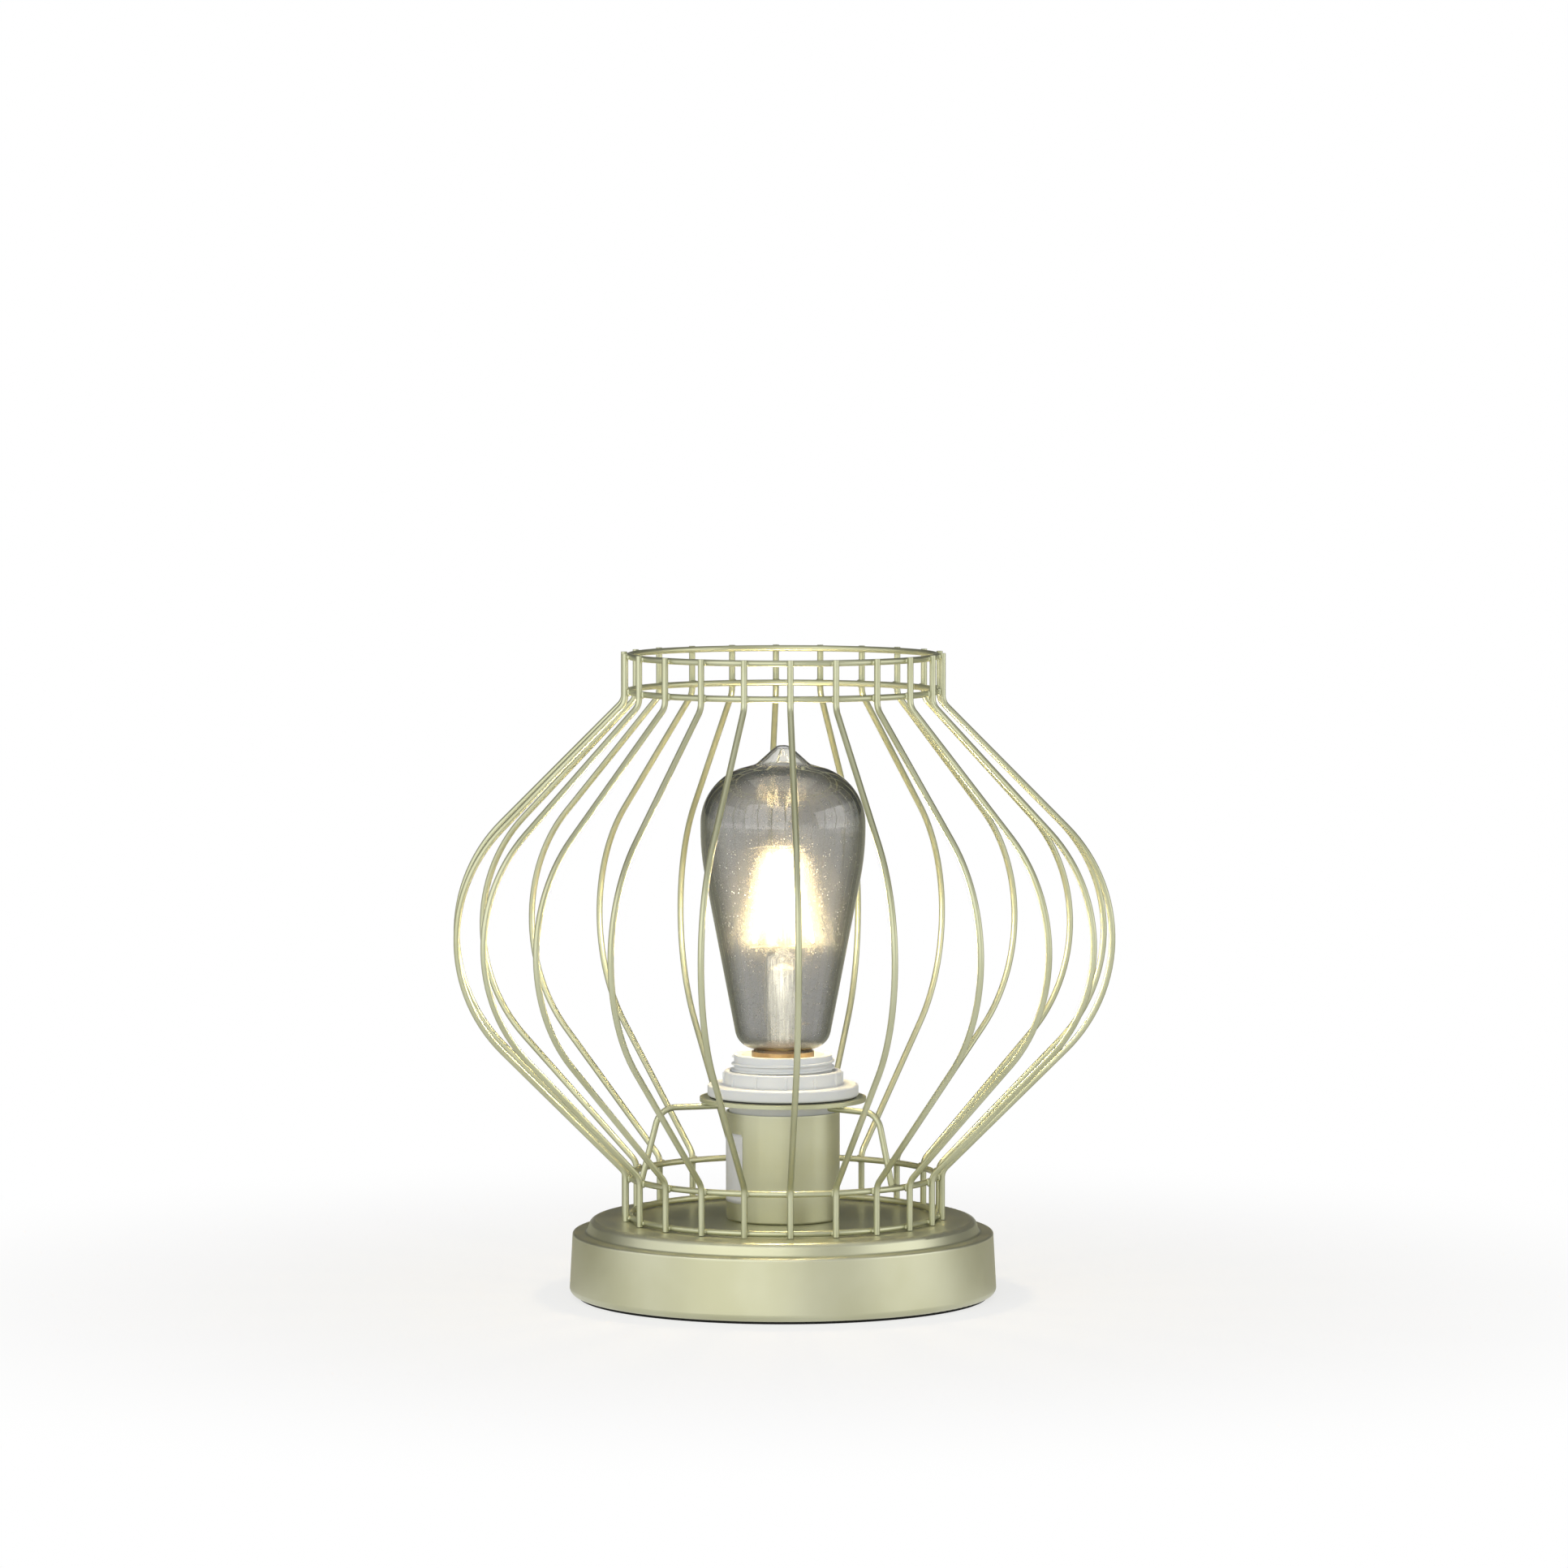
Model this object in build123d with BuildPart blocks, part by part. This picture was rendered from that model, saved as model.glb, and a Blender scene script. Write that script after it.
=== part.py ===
from build123d import *
from math import acos, atan2, cos, radians, sin, tan
import os

# Cage table lamp, millimetres, +Z up, front towards -Y.
# The origin is the centre of the base underside.

# Base
base_height = 30.0
base_foot_d = 166.0
wall_draft = 1.3
ledge_width = 5.4
step_height = 5.0
step_draft = 1.7
shell_wall = 1.2
plateau_edge_r = 2.4
step_corner_r = 0.9
ledge_edge_r = 0.8
lip_r = 2.6
lip_height = 1.0
lip_flat = 0.5
pad_thickness = 2.0
pad_gap = 0.3
plate_thickness = 1.2
plate_gap = 0.4

# Bottom plate tabs and screws
tab_count = 3
tab_thickness = 1.2
tab_height = 13.0
tab_sweep_deg = 9.0
tab_reach = 14.0
tab_lift = 0.3
screw_inset = 7.5
plate_screw_d = 3.5
plate_screw_length = 7.0
plate_screw_head_d = 6.8
plate_screw_cone_deg = 90.0

# Cord inlet in the back wall
inlet_height = 12.0
inlet_bore_d = 6.4
inlet_wall = 1.4
inlet_flange_d = 13.0
inlet_flange_thickness = 1.6
inlet_barb_d = 10.6
inlet_barb_length = 3.0
inlet_barb_taper_deg = 8.0

# Nipple, nut and lock washer
nipple_d = 10.0
nipple_bore_d = 7.4
nipple_tail = 3.0
nut_across_flats = 14.0
nut_thickness = 4.0
lock_washer_d = 18.0
lock_washer_thickness = 1.0

# Holder cup
cup_height = 42.1
cup_wall = 0.8
cup_edge_r = 1.0

# Lampholder
dome_height = 17.5
dome_wall = 2.0
boss_d = 16.0
boss_height = 11.0
spigot_height = 4.0
spigot_wall = 1.6
spigot_step = 1.8
skirt_height = 27.7
neck_height = 18.1
rim_mouth_d = 32.0
rim_mouth_depth = 3.6
socket_depth = 25.1
socket_thread_depth = 0.85
socket_thread_base = 1.9
socket_thread_crest = 0.7
socket_thread_turns = 4
outer_thread_d = 40.0
outer_thread_depth = 1.0
outer_thread_pitch = 2.5
outer_thread_base = 1.5
outer_thread_crest = 0.6
outer_thread_runout = 1.2
shoulder_width = 0.95
post_d = 5.0
post_spacing = 18.0
post_socket_depth = 6.0
contact_thickness = 0.5
contact_width = 5.0
contact_crown = 4.0
thread_sink = 0.4

# Shade ring and gasket
flange_width = 6.45
flange_height = 4.5
collar_wall = 2.6
collar_height = 5.4
ring_edge_r = 0.8
grip_count = 12
grip_d = 1.2
gasket_thickness = 0.5
gasket_inset = 0.8

# Cage
cage_height = 219.7
cage_foot_gap = 0.3
bulge_d = 255.2
bulge_bend_r = 61.0
neck_length = 18.83
neck_bend_r = 6.0
rib_count = 22
rib_wire = 2.4
first_rib_deg = -87.4
ring_d = 119.0
ring_wire = 2.4
ring_end_inset = 1.3
upper_ring_drop = 3.93
lower_ring_drop = 2.33
weld_sink = 0.05

# Spider
washer_reach = 3.0
spider_washer_thickness = 1.5
arm_count = 3
arm_wire = 2.4
arm_overlap = 7.8
arm_lean_deg = 15.0
arm_bend_r = 8.0
arm_tail = 1.4
first_arm_deg = -43.0

# Bulb
bulb_length = 143.0
bulb_d = 64.0
bulb_wall = 0.9
bulb_insertion = 23.0
cap_pitch = 3.629
cap_crest_d = 26.1
cap_thread_depth = 0.95
cap_thread_base = 2.5
cap_thread_crest = 0.8
cap_thread_start = 6.0
cap_thread_turns = 4
cap_wall = 0.6
cap_foot = 3.6
cap_top = 24.2
insulator_foot = 1.2
insulator_d = 22.0
insulator_plug_d = 17.6
insulator_top = 6.0
button_d = 9.2
button_crown = 0.9
button_pin_d = 2.8
glass_neck_length = 7.0
glass_neck_rise = 1.0
glass_shoulder_d = 35.0
glass_shoulder_rise = 1.2
glass_side_height = 28.5
glass_crown_rise = 5.8
pip_d = 21.2
pip_height = 7.4
pip_tip_d = 4.6
stem_d = 12.0
stem_wall = 1.3
stem_flare_height = 28.0
stem_height = 63.5
stem_crown = 3.0
stem_bore_cone = 3.0
stem_post_d = 3.2
stem_post_height = 104.0
filament_count = 8
filament_width = 1.7
filament_thickness = 0.9
filament_foot_height = 65.4
filament_foot_r = 12.6
filament_head_height = 102.6
filament_head_r = 5.4
spoke_wire = 0.6
board_thickness = 1.2
board_height = 10.0
capacitor_d = 6.0
capacitor_height = 8.0

# Wiring
lead_d = 2.2
lead_spread = 2.8
lead_socket_depth = 4.0
lead_drop = 3.0
lead_gather = 6.5
block_length = 20.0
block_width = 17.0
block_height = 13.0
block_pole_spacing = 9.0
block_hole_d = 3.0
block_hole_height = 6.5
block_screw_d = 3.2
block_screw_length = 4.0
block_screw_spacing = 10.0
block_distance = 38.0

# Bends, as shares of the straight runs before and after each corner
lead_bend = (0.45, 0.45)
glass_neck_bend = (0.13, 0.13)
glass_shoulder_bend = (0.84, 0.84)
glass_side_bend = (0.34, 0.34)
glass_crown_bend = (0.60, 0.85)
pip_foot_bend = (0.09, 0.09)
pip_tip_bend = (0.74, 0.74)

# Clearances
hole_gap = 0.2
fit_gap = 0.05
cup_gap = 0.3
thread_gap = 0.25
contact_gap = 0.1

# Heights that several pieces share
plate_top = pad_thickness + plate_thickness
plateau_under = base_height - shell_wall
ledge_height = base_height - step_height
cup_floor = base_height + cup_wall
boss_top = cup_floor + boss_height
dome_top = cup_floor + dome_height
spigot_top = dome_top + spigot_height
shoulder = dome_top + skirt_height
washer_top = shoulder + spider_washer_thickness
ring_seat = washer_top + gasket_thickness
collar_top = ring_seat + flange_height + collar_height
holder_rim = shoulder + neck_height
core_top = holder_rim - socket_depth
bulb_foot = holder_rim - bulb_insertion
outer_thread_start = ring_seat + outer_thread_runout
cage_foot = base_height + cage_foot_gap
cage_top = cage_foot + cage_height

# Radii that several pieces share
foot_r = base_foot_d / 2
ledge_r = foot_r - wall_draft
step_r = ledge_r - ledge_width
lip_opening_r = foot_r - lip_r - lip_flat
plate_r = lip_opening_r - plate_gap
screw_circle_r = plate_r - screw_inset
skirt_r = outer_thread_d / 2 + shoulder_width
cup_r = skirt_r + cup_gap + cup_wall
spigot_r = skirt_r - spigot_step
thread_root_r = outer_thread_d / 2 - outer_thread_depth
ring_bore_r = outer_thread_d / 2 + thread_gap
collar_r = ring_bore_r + collar_wall
flange_r = collar_r + flange_width
spider_washer_r = flange_r + washer_reach
cap_root_r = cap_crest_d / 2 - cap_thread_depth
cap_bore_r = cap_root_r - cap_wall
socket_r = cap_crest_d / 2 + thread_gap
neck_r = cap_bore_r - cup_gap
post_x = post_spacing / 2
rib_neck_r = ring_d / 2 + ring_wire / 2 + rib_wire / 2 - weld_sink

os.makedirs("parts", exist_ok=True)


def write(builder, name):
    builder.part.label = name
    export_step(builder.part, f"parts/{name}.step")


def radial_plane(angle):
    # local x points away from the lamp axis and local y points up
    turn = radians(angle)
    return Plane(origin=(0, 0, 0), x_dir=(cos(turn), sin(turn), 0), z_dir=(sin(turn), -cos(turn), 0))


def wall_outer_r(height):
    # outer face of the drafted base wall
    draft = wall_draft / (ledge_height - lip_height)
    return foot_r - draft * (height - lip_height)


def wall_inner_r(height):
    return wall_outer_r(height) - shell_wall


def bend_radii(points, bends):
    # radius at each corner of a route, from the shares of its two runs that the bend takes up
    radii = []
    for before, here, after, (share_in, share_out) in zip(points, points[1:], points[2:], bends):
        run_in = Vector(*here) - Vector(*before)
        run_out = Vector(*after) - Vector(*here)
        half_turn = radians(run_in.get_angle(run_out)) / 2
        radii.append(min(share_in * run_in.length, share_out * run_out.length) / tan(half_turn))
    return radii


def thread_ridge(root_r, crest_r, base, crest, pitch, start, height):
    # right-hand ridge whose foot is sunk into the wall that carries it
    rise = crest_r - root_r
    foot = -thread_sink * rise
    with BuildLine() as path:
        Helix(pitch, height, root_r, center=(0, 0, start))
    with BuildSketch(Plane(origin=path.line @ 0, x_dir=(1, 0, 0), z_dir=path.line % 0)) as section:
        with BuildLine():
            Polyline((foot, -base / 2), (rise, -crest / 2), (rise, crest / 2), (foot, base / 2), close=True)
        make_face()
    sweep(section.sketch, path=path.line, is_frenet=True)


# Base shell: one pressed sheet with two steps and a curled lip
with BuildPart() as base_shell:
    with BuildSketch(Plane.XZ):
        with BuildLine():
            shell_outside = FilletPolyline(
                (0, base_height),
                (step_r - step_draft, base_height),
                (step_r, ledge_height),
                (ledge_r, ledge_height),
                (foot_r, lip_height),
                (lip_opening_r, lip_height),
                radius=[plateau_edge_r, step_corner_r, ledge_edge_r, lip_r],
            )
            offset(shell_outside, amount=shell_wall, side=Side.RIGHT, closed=True)
        make_face()
    revolve(axis=Axis.Z)
    with Locations((0, 0, base_height)):
        Hole(nipple_d / 2 + hole_gap)
    with Locations(Plane((0, foot_r, inlet_height), z_dir=(0, 1, 0))):
        Hole(inlet_bore_d / 2 + inlet_wall + hole_gap, depth=foot_r - step_r)
write(base_shell, "base_shell")

with BuildPart() as foot_pad:
    with BuildSketch():
        Circle(lip_opening_r - pad_gap)
    extrude(amount=pad_thickness)
write(foot_pad, "foot_pad")

with BuildPart() as bottom_plate:
    with BuildSketch(Plane.XY.offset(pad_thickness)):
        Circle(plate_r)
    extrude(amount=plate_thickness)
    with Locations(Plane((0, 0, pad_thickness), x_dir=(1, 0, 0), z_dir=(0, 0, -1))):
        with PolarLocations(screw_circle_r, tab_count):
            CounterSinkHole(
                plate_screw_d / 2 + hole_gap,
                plate_screw_head_d / 2 + hole_gap,
                counter_sink_angle=plate_screw_cone_deg,
            )
write(bottom_plate, "bottom_plate")

# Plate tabs: angle strips welded inside the wall, one for each plate screw
tab_bend = lip_height + lip_r
with BuildPart() as plate_tabs:
    for n in range(tab_count):
        with BuildSketch(radial_plane(360 / tab_count * n - tab_sweep_deg / 2)):
            with BuildLine():
                Polyline(
                    (plate_r - tab_reach, plate_top),
                    (lip_opening_r, plate_top),
                    (wall_inner_r(tab_bend) - fit_gap, max(tab_bend, plate_top) + tab_lift),
                    (wall_inner_r(tab_height) - fit_gap, tab_height),
                    (wall_inner_r(tab_height) - fit_gap - tab_thickness, tab_height),
                    (lip_opening_r - tab_thickness / 2, plate_top + tab_thickness),
                    (plate_r - tab_reach, plate_top + tab_thickness),
                    close=True,
                )
            make_face()
        revolve(axis=Axis.Z, revolution_arc=-tab_sweep_deg)
    with Locations((0, 0, plate_top + tab_thickness)):
        with PolarLocations(screw_circle_r, tab_count):
            Hole(plate_screw_d / 2 + fit_gap, depth=2 * tab_thickness)
write(plate_tabs, "plate_tabs")

from_below = (Align.CENTER, Align.CENTER, Align.MIN)
plate_screw_cone = (plate_screw_head_d - plate_screw_d) / 2 / tan(radians(plate_screw_cone_deg / 2))
with BuildPart() as plate_screws:
    with PolarLocations(screw_circle_r, tab_count):
        with Locations((0, 0, pad_thickness)):
            Cone(plate_screw_head_d / 2, plate_screw_d / 2, plate_screw_cone, align=from_below)
            Cylinder(plate_screw_d / 2, plate_screw_length, align=from_below)
write(plate_screws, "plate_screws")

# Cord bushing: a flange outside the wall, a neck through it and barbs inside
inlet_neck_r = inlet_bore_d / 2 + inlet_wall
inlet_seat = wall_outer_r(inlet_height - inlet_flange_d / 2) + fit_gap
barb_corner = Vector(inlet_barb_d / 2, wall_inner_r(inlet_height + inlet_barb_d / 2))
barb_seat = (barb_corner.Y**2 - barb_corner.X**2) ** 0.5 - fit_gap
with BuildPart() as cord_bushing:
    with BuildSketch(Plane((0, inlet_seat, inlet_height), z_dir=(0, 1, 0))):
        Circle(inlet_flange_d / 2)
    extrude(amount=inlet_flange_thickness)
    with BuildSketch(Plane((0, inlet_seat, inlet_height), z_dir=(0, 1, 0))):
        Circle(inlet_neck_r)
    extrude(amount=barb_seat - inlet_seat - inlet_barb_length)
    with BuildSketch(Plane((0, barb_seat, inlet_height), z_dir=(0, 1, 0))):
        Circle(inlet_barb_d / 2)
    extrude(amount=-inlet_barb_length, taper=inlet_barb_taper_deg)
    with Locations(Plane((0, inlet_seat + inlet_flange_thickness, inlet_height), z_dir=(0, 1, 0))):
        Hole(inlet_bore_d / 2)
write(cord_bushing, "cord_bushing")

# Nipple: clamps the shell and the cup between its nut and the holder dome
lock_washer_foot = plateau_under - lock_washer_thickness
nut_foot = lock_washer_foot - nut_thickness
with BuildPart() as nipple:
    with BuildSketch(Plane.XY.offset(nut_foot - nipple_tail)):
        Circle(nipple_d / 2)
        Circle(nipple_bore_d / 2, mode=Mode.SUBTRACT)
    extrude(amount=boss_top - nut_foot + nipple_tail)
write(nipple, "nipple")

with BuildPart() as nipple_nut:
    with BuildSketch(Plane.XY.offset(nut_foot)):
        RegularPolygon(nut_across_flats / 2, 6, major_radius=False)
        Circle(nipple_d / 2 + fit_gap, mode=Mode.SUBTRACT)
    extrude(amount=nut_thickness)
write(nipple_nut, "nipple_nut")

with BuildPart() as lock_washer:
    with BuildSketch(Plane.XY.offset(lock_washer_foot)):
        Circle(lock_washer_d / 2)
        Circle(nipple_d / 2 + hole_gap, mode=Mode.SUBTRACT)
    extrude(amount=lock_washer_thickness)
write(lock_washer, "lock_washer")

with BuildPart() as holder_cup:
    with BuildSketch(Plane.XZ):
        with BuildLine():
            cup_outside = FilletPolyline(
                (0, base_height),
                (cup_r, base_height),
                (cup_r, base_height + cup_height),
                radius=cup_edge_r,
            )
            offset(cup_outside, amount=cup_wall, side=Side.LEFT, closed=True)
        make_face()
    revolve(axis=Axis.Z)
    with Locations((0, 0, cup_floor)):
        Hole(nipple_d / 2 + hole_gap)
write(holder_cup, "holder_cup")

# Holder dome: screwed on the nipple, with a spigot that the barrel fits over
dome_bore_r = nipple_d / 2 + fit_gap
spigot_bore_r = spigot_r - spigot_wall
with BuildPart() as holder_dome:
    with BuildSketch(Plane.XZ):
        with BuildLine():
            Polyline(
                (dome_bore_r, cup_floor),
                (skirt_r, cup_floor),
                (skirt_r, dome_top),
                (spigot_r, dome_top),
                (spigot_r, spigot_top),
                (spigot_bore_r, spigot_top),
                (spigot_bore_r, cup_floor + dome_wall),
                (boss_d / 2, cup_floor + dome_wall),
                (boss_d / 2, boss_top),
                (dome_bore_r, boss_top),
                close=True,
            )
        make_face()
    revolve(axis=Axis.Z)
    foot_edge = holder_dome.edges().filter_by(GeomType.CIRCLE).group_by(Axis.Z)[0].sort_by(SortBy.RADIUS)[-1]
    chamfer(foot_edge, cup_edge_r)
write(holder_dome, "holder_dome")

# Holder barrel: skirt in the cup, shoulder under the spider washer, threaded neck
barrel_bore_r = spigot_r + fit_gap
socket_thread_start = bulb_foot + cap_thread_start - cap_pitch / 2
with BuildPart() as holder_barrel:
    with BuildSketch(Plane.XZ):
        with BuildLine():
            Polyline(
                (barrel_bore_r, dome_top),
                (skirt_r, dome_top),
                (skirt_r, shoulder),
                (thread_root_r, shoulder),
                (thread_root_r, holder_rim),
                (rim_mouth_d / 2, holder_rim),
                (socket_r, holder_rim - rim_mouth_depth),
                (socket_r, core_top),
                (barrel_bore_r, core_top),
                close=True,
            )
        make_face()
    revolve(axis=Axis.Z)
    thread_ridge(
        thread_root_r,
        outer_thread_d / 2,
        outer_thread_base,
        outer_thread_crest,
        outer_thread_pitch,
        outer_thread_start,
        holder_rim - outer_thread_runout - outer_thread_start,
    )
    thread_ridge(
        socket_r,
        socket_r - socket_thread_depth,
        socket_thread_base,
        socket_thread_crest,
        cap_pitch,
        socket_thread_start,
        socket_thread_turns * cap_pitch,
    )
write(holder_barrel, "holder_barrel")

with BuildPart() as holder_core:
    with BuildSketch(Plane.XY.offset(spigot_top)):
        Circle(spigot_r)
        with Locations((post_x, 0), (-post_x, 0)):
            Circle(post_d / 2 + fit_gap, mode=Mode.SUBTRACT)
    extrude(amount=core_top - spigot_top)
write(holder_core, "holder_core")

with BuildPart() as terminal_posts:
    with BuildSketch(Plane.XY.offset(spigot_top)):
        with Locations((post_x, 0), (-post_x, 0)):
            Circle(post_d / 2)
    extrude(amount=core_top - spigot_top)
    with Locations(Plane((0, 0, spigot_top), x_dir=(1, 0, 0), z_dir=(0, 0, -1))):
        with Locations((post_x, 0), (-post_x, 0)):
            Hole(lead_d / 2 + hole_gap, depth=post_socket_depth)
write(terminal_posts, "terminal_posts")

# Centre contact: an arched strip from the right post to under the bulb
contact_crest = bulb_foot - contact_gap - contact_thickness
with BuildPart() as centre_contact:
    with BuildSketch(Plane.XZ):
        with BuildLine():
            strip_under = Polyline(
                (post_x + post_d / 2, core_top),
                (button_d / 2, core_top),
                (contact_crown / 2, contact_crest),
                (-contact_crown / 2, contact_crest),
                (-button_d / 2, core_top),
            )
            offset(strip_under, amount=contact_thickness, side=Side.RIGHT, closed=True)
        make_face()
    extrude(amount=contact_width / 2, both=True)
write(centre_contact, "centre_contact")

# Side contact: an angle strip from the left post to under the edge of the bulb cap
side_reach = cap_root_r - contact_gap
with BuildPart() as side_contact:
    with BuildSketch(Plane.XZ):
        with BuildLine():
            Polyline(
                (-post_x + post_d / 2, core_top),
                (-side_reach, core_top),
                (-side_reach, bulb_foot + cap_foot - contact_gap),
                (-side_reach + contact_thickness, bulb_foot + cap_foot - contact_gap),
                (-side_reach + contact_thickness, core_top + contact_thickness),
                (-post_x + post_d / 2, core_top + contact_thickness),
                close=True,
            )
        make_face()
    extrude(amount=contact_width / 2, both=True)
write(side_contact, "side_contact")

with BuildPart() as shade_ring:
    with BuildSketch(Plane.XZ) as ring_half:
        with BuildLine():
            Polyline(
                (ring_bore_r, ring_seat),
                (flange_r, ring_seat),
                (flange_r, ring_seat + flange_height),
                (collar_r, ring_seat + flange_height),
                (collar_r, collar_top),
                (ring_bore_r, collar_top),
                close=True,
            )
        make_face()
        fillet(ring_half.vertices(), ring_edge_r)
    revolve(axis=Axis.Z)
    with BuildSketch(Plane.XY.offset(ring_seat + flange_height - ring_edge_r)):
        with PolarLocations(collar_r, grip_count, start_angle=first_rib_deg):
            Circle(grip_d / 2)
    extrude(amount=collar_height)
    thread_ridge(
        ring_bore_r,
        thread_root_r + thread_gap,
        outer_thread_base,
        outer_thread_crest,
        outer_thread_pitch,
        outer_thread_start + outer_thread_pitch / 2,
        collar_top - outer_thread_runout - outer_thread_start - outer_thread_pitch / 2,
    )
write(shade_ring, "shade_ring")

with BuildPart() as clamp_gasket:
    with BuildSketch(Plane.XY.offset(washer_top)):
        Circle(flange_r - gasket_inset)
        Circle(ring_bore_r + hole_gap, mode=Mode.SUBTRACT)
    extrude(amount=gasket_thickness)
write(clamp_gasket, "clamp_gasket")

# Cage ribs: neck, flank, bulge, flank and neck of one bent wire
cage_middle = cage_foot + cage_height / 2
neck_corner = cage_height / 2 - neck_length
bulge_centre_reach = bulge_d / 2 - bulge_bend_r - rib_neck_r
neck_to_bulge = (neck_corner**2 + bulge_centre_reach**2) ** 0.5
flank = acos(bulge_bend_r / neck_to_bulge) - atan2(bulge_centre_reach, neck_corner)
bulge_corner_r = rib_neck_r + neck_corner / tan(flank)
for n in range(rib_count):
    with BuildPart() as cage_rib:
        with BuildLine(radial_plane(first_rib_deg + 360 / rib_count * n)) as rib_line:
            FilletPolyline(
                (rib_neck_r, cage_foot),
                (rib_neck_r, cage_middle - neck_corner),
                (bulge_corner_r, cage_middle),
                (rib_neck_r, cage_middle + neck_corner),
                (rib_neck_r, cage_top),
                radius=[neck_bend_r, bulge_bend_r, neck_bend_r],
            )
        with BuildSketch(Plane(origin=rib_line.line @ 0, z_dir=rib_line.line % 0)):
            Circle(rib_wire / 2)
        sweep()
    write(cage_rib, f"cage_rib_{n + 1:02d}")

foot_ring_height = cage_foot + ring_end_inset
rim_ring_height = cage_top - ring_end_inset
lower_neck_height = cage_foot + neck_length - lower_ring_drop
ring_heights = {
    "rim_ring": rim_ring_height,
    "upper_neck_ring": cage_top - neck_length + upper_ring_drop,
    "lower_neck_ring": lower_neck_height,
    "foot_ring": foot_ring_height,
}
for ring_name, ring_height in ring_heights.items():
    with BuildPart() as cage_ring:
        with BuildSketch(Plane.XZ):
            with Locations((ring_d / 2, ring_height)):
                Circle(ring_wire / 2)
        revolve(axis=Axis.Z)
    write(cage_ring, ring_name)

with BuildPart() as spider_washer:
    with BuildSketch(Plane.XY.offset(shoulder)):
        Circle(spider_washer_r)
        Circle(ring_bore_r + fit_gap, mode=Mode.SUBTRACT)
    extrude(amount=spider_washer_thickness)
write(spider_washer, "spider_washer")

# Spider arms: from under the washer, out and down to the inside of the lower neck ring
lean = radians(arm_lean_deg)
arm_height = shoulder - arm_wire / 2 - fit_gap
arm_ring_r = ring_d / 2 - (ring_wire / 2 + arm_wire / 2 - weld_sink) / cos(lean)
arm_corner_r = arm_ring_r - (arm_height - lower_neck_height) * tan(lean)
for n in range(arm_count):
    with BuildPart() as spider_arm:
        with BuildLine(radial_plane(first_arm_deg + 360 / arm_count * n)) as arm_line:
            FilletPolyline(
                (spider_washer_r - arm_overlap, arm_height),
                (arm_corner_r, arm_height),
                (arm_ring_r + arm_tail * tan(lean), lower_neck_height - arm_tail),
                radius=arm_bend_r,
            )
        with BuildSketch(Plane(origin=arm_line.line @ 0, z_dir=arm_line.line % 0)):
            Circle(arm_wire / 2)
        sweep()
    write(spider_arm, f"spider_arm_{n + 1}")

# Bulb, from its centre contact up
bulb_plane = Plane(origin=(0, 0, bulb_foot), x_dir=(1, 0, 0), z_dir=(0, -1, 0))
glass_foot = cap_top - glass_neck_length
glass_bend = cap_top + glass_neck_rise
pip_foot = bulb_length - pip_height
glass_top = pip_foot - glass_crown_rise
glass_corners = [
    (neck_r, glass_foot),
    (neck_r, glass_bend),
    (glass_shoulder_d / 2, glass_bend + glass_shoulder_rise),
    (bulb_d / 2, glass_top - glass_side_height),
    (bulb_d / 2, glass_top),
    (pip_d / 2, pip_foot),
    (pip_tip_d / 2, bulb_length),
    (0, bulb_length),
]
glass_bends = [
    glass_neck_bend,
    glass_shoulder_bend,
    glass_side_bend,
    glass_crown_bend,
    pip_foot_bend,
    pip_tip_bend,
]
with BuildPart() as bulb_glass:
    with BuildSketch(bulb_plane):
        with BuildLine():
            glass_outside = FilletPolyline(*glass_corners, radius=bend_radii(glass_corners, glass_bends))
            offset(glass_outside, amount=bulb_wall, side=Side.LEFT, closed=True)
        make_face()
    revolve(axis=Axis.Z)
write(bulb_glass, "bulb_glass")

with BuildPart() as bulb_cap:
    with BuildSketch(bulb_plane):
        with BuildLine():
            Polyline(
                (insulator_plug_d / 2 + fit_gap, cap_foot),
                (cap_root_r, cap_foot),
                (cap_root_r, cap_top),
                (cap_bore_r, cap_top),
                (cap_bore_r, cap_foot + cap_wall),
                (insulator_plug_d / 2 + fit_gap, cap_foot + cap_wall),
                close=True,
            )
        make_face()
    revolve(axis=Axis.Z)
    thread_ridge(
        cap_root_r,
        cap_crest_d / 2,
        cap_thread_base,
        cap_thread_crest,
        cap_pitch,
        bulb_foot + cap_thread_start,
        cap_thread_turns * cap_pitch,
    )
write(bulb_cap, "bulb_cap")

with BuildPart() as bulb_insulator:
    with BuildSketch(bulb_plane):
        with BuildLine():
            Polyline(
                (button_pin_d / 2 + hole_gap, insulator_foot),
                (button_d / 2 + hole_gap, insulator_foot),
                (insulator_d / 2, cap_foot),
                (insulator_plug_d / 2, cap_foot),
                (insulator_plug_d / 2, insulator_top),
                (button_pin_d / 2 + hole_gap, insulator_top),
                close=True,
            )
        make_face()
    revolve(axis=Axis.Z)
write(bulb_insulator, "bulb_insulator")

# Bulb contact: a domed button with a pin up through the insulator
with BuildPart() as bulb_contact:
    with BuildSketch(bulb_plane):
        with BuildLine():
            dome_sphere_r = ((button_d / 2) ** 2 + button_crown**2) / (2 * button_crown)
            RadiusArc((0, 0), (button_d / 2, button_crown), -dome_sphere_r)
            Polyline(
                (button_d / 2, button_crown),
                (button_d / 2, insulator_foot - contact_gap),
                (button_pin_d / 2, insulator_foot - contact_gap),
                (button_pin_d / 2, insulator_top),
                (0, insulator_top),
                (0, 0),
            )
        make_face()
    revolve(axis=Axis.Z)
write(bulb_contact, "bulb_contact")

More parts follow.
